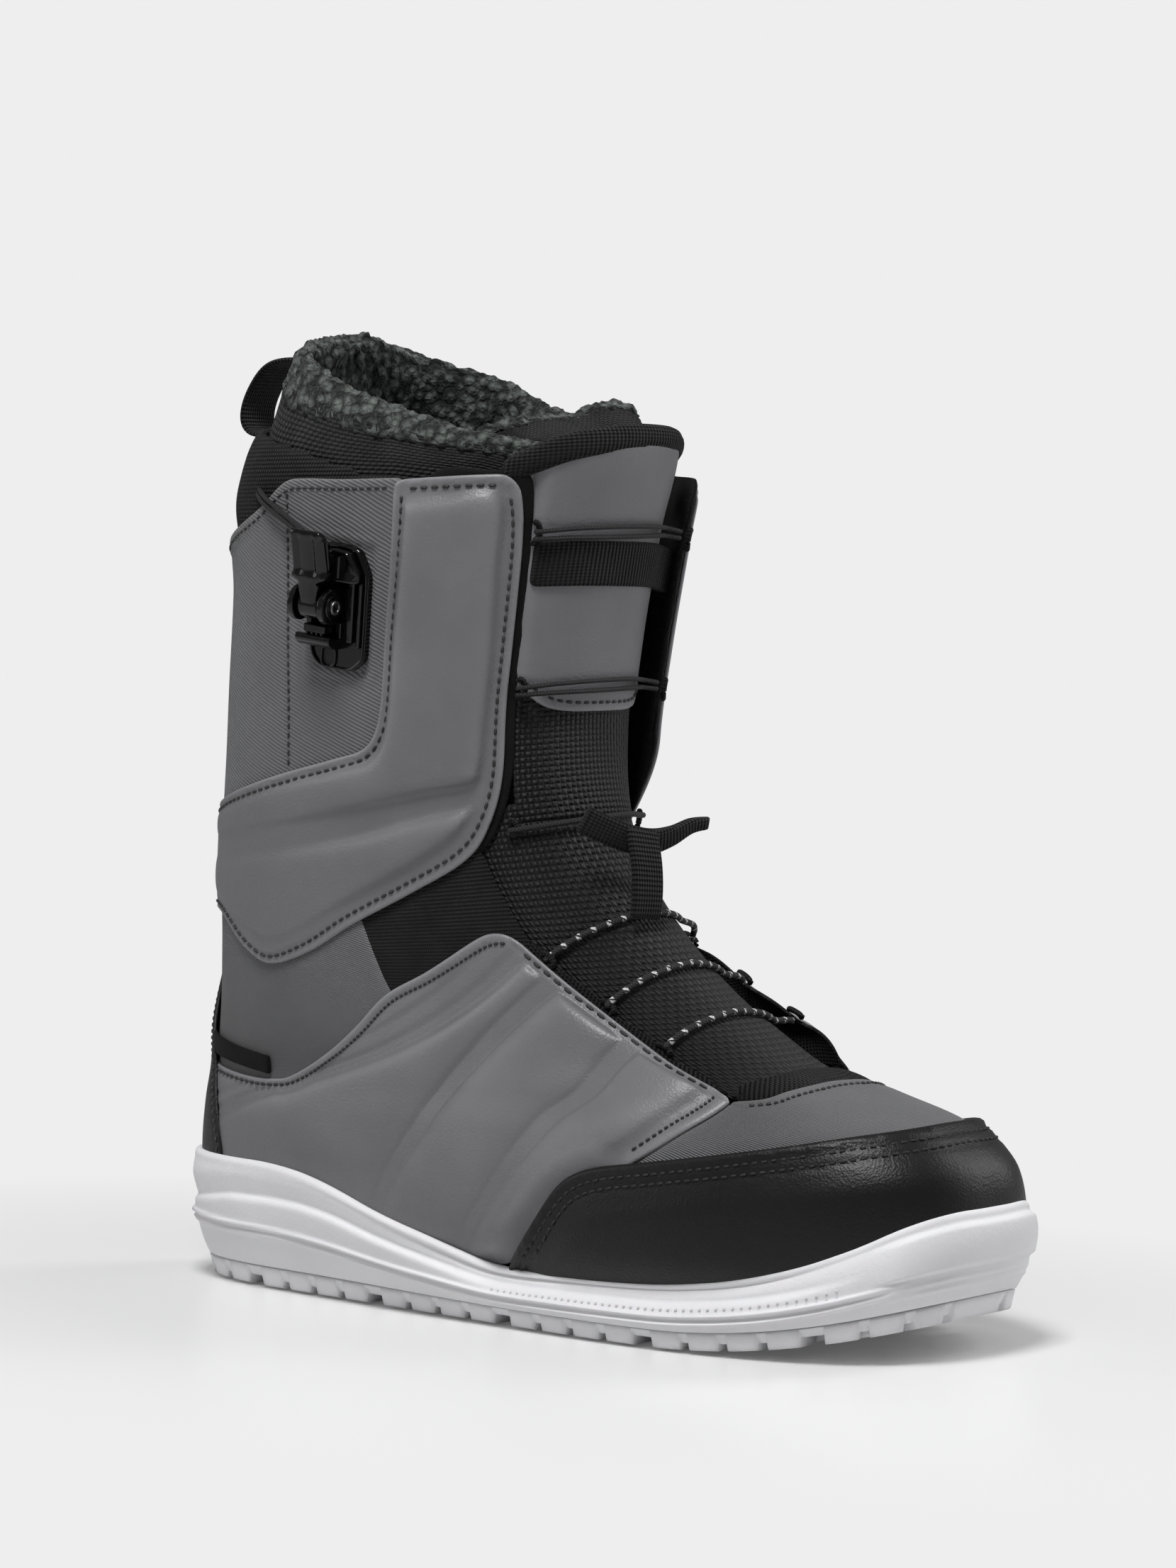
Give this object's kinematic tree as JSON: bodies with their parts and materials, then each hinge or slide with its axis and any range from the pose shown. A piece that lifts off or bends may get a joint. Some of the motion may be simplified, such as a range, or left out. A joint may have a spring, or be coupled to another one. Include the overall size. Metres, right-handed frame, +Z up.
{
  "type": "snowboard boot",
  "caption": "High soft boot for the right foot with a treaded rubber sole, two lace zones, a flip-lever lace lock and a padded fleece-lined inner boot.",
  "frame": {"origin": "on the ground under the ankle, in the middle of the tread block there", "axes": "+X towards the toe, +Z up the shin, outer (lateral) side of this right boot at -Y"},
  "size_m": [0.3146, 0.1332, 0.3134],
  "materials": {
    "sole_rubber": "moulded white rubber, fine matt grain",
    "grey_leather": "smooth grey synthetic leather, softly creased, satin",
    "grey_twill": "grey coated twill with a fine diagonal rib",
    "black_leather": "black pebbled synthetic leather, satin",
    "black_fabric": "black ballistic weave and knitted lining",
    "webbing": "black woven webbing and cord",
    "fleece": "dark grey-green curled fleece",
    "foam": "foam faced with knitted cloth",
    "board": "stiff fibre board",
    "black_plastic": "moulded black nylon, satin",
    "steel": "dark plated steel"
  },
  "bodies": {
    "foot": {"outsole": "sole_rubber", "midsole": "sole_rubber", "insole_board": "board", "footbed": "foam", "toe_rand": "black_leather", "vamp": "grey_twill", "lateral_quarter": "grey_leather", "medial_quarter": "grey_leather", "lateral_rear_quarter": "grey_twill", "medial_rear_quarter": "grey_twill", "lateral_elastic_gusset": "black_fabric", "medial_elastic_gusset": "black_fabric", "heel_counter": "board", "backstay_lower": "black_leather", "tongue_lower": "black_fabric", "lateral_lower_lace_guide": "webbing", "medial_lower_lace_guide": "webbing", "foot_lining": "black_fabric", "liner_lower": "foam", "side_label": "webbing", "lower_lace": "webbing"},
    "cuff": {"lateral_cuff": "grey_leather", "medial_cuff": "grey_leather", "lateral_cuff_rear": "grey_twill", "medial_cuff_rear": "grey_twill", "backstay_upper": "black_leather", "collar": "black_fabric", "cuff_lining": "black_fabric", "lateral_cuff_lace_guide": "webbing", "medial_cuff_lace_guide": "webbing", "liner_upper": "foam", "liner_fleece": "fleece", "lock_base": "black_plastic", "lock_pin": "steel", "pull_cord": "webbing"},
    "tongue": {"tongue_upper": "black_fabric", "tongue_shield": "grey_leather", "tongue_binding": "webbing", "tongue_strap": "webbing", "upper_lace": "webbing"},
    "lever": {"lock_lever": "black_plastic"},
    "jaw": {"lock_jaw": "black_plastic"},
    "puller": {"lace_puller": "webbing"},
    "loop": {"pull_loop": "webbing"}
  },
  "joints": [
    {"name": "ankle_flex", "type": "hinge", "parent": "foot", "child": "cuff", "pos_m": [0, 0, 0.1], "axis": [0, 1, 0], "range_deg": [-3, 8], "stiffness_Nm_per_rad": 60},
    {"name": "tongue_open", "type": "hinge", "parent": "cuff", "child": "tongue", "pos_m": [0.074, 0, 0.142], "axis": [0, 1, 0], "range_deg": [0, 16], "stiffness_Nm_per_rad": 2},
    {"name": "lever_open", "type": "hinge", "parent": "cuff", "child": "lever", "pos_m": [0.01353, -0.06381, 0.22477], "axis": [0.9834, 0.0991, -0.1518], "range_deg": [0, 75]},
    {"name": "jaw_release", "type": "slide", "parent": "cuff", "child": "jaw", "axis": [0.1607, -0.0883, 0.9831], "range_m": [0, 0.0013]},
    {"name": "puller_swing", "type": "hinge", "parent": "foot", "child": "puller", "pos_m": [0.101, -0.008, 0.127], "axis": [0, 1, 0], "range_deg": [-2, 45], "stiffness_Nm_per_rad": 0.05},
    {"name": "loop_swing", "type": "hinge", "parent": "cuff", "child": "loop", "pos_m": [-0.056, 0, 0.284], "axis": [0, 1, 0], "range_deg": [-50, 5], "stiffness_Nm_per_rad": 0.05}
  ],
  "couplings": [
    {"joint": "jaw_release", "follows": "lever_open", "m_per_rad": 0.0009}
  ]
}
